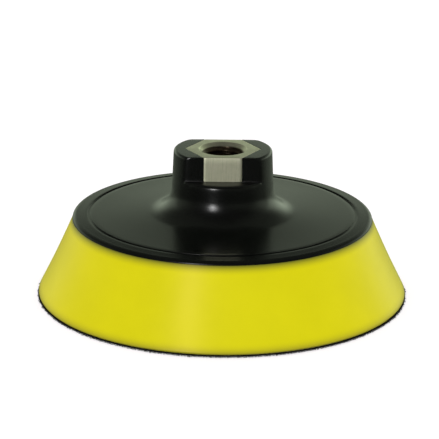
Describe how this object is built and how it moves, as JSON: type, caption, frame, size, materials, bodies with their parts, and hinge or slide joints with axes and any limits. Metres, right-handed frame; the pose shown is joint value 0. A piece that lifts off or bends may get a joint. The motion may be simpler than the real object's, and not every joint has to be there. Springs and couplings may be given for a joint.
{
  "type": "polisher backing plate",
  "caption": "Round foam backing plate with a hook face for polishing pads, a nylon hub and a threaded steel nut with spanner flats.",
  "frame": {"origin": "centre of the flat that the hook tips lie in, on the spin axis", "axes": "+Z along the spin axis from the hook face towards the polisher's spindle; -Y and +Y are normal to the two spanner flats; +X runs through a corner of the nut"},
  "size_m": [0.125, 0.125, 0.0506],
  "materials": {
    "nut_steel": "dull nickel plate with milled flats",
    "nylon": "satin black moulded nylon",
    "foam": "bright yellow moulded polyurethane foam with a fine skin",
    "film": "clear amber adhesive film",
    "tape": "black woven nylon tape",
    "hook": "black nylon hooks"
  },
  "bodies": {
    "root": {"threaded_nut": "nut_steel", "hub_plate": "nylon", "foam_body": "foam", "bonding_film": "film", "hook_tape": "tape", "hooks": "hook"}
  },
  "joints": []
}
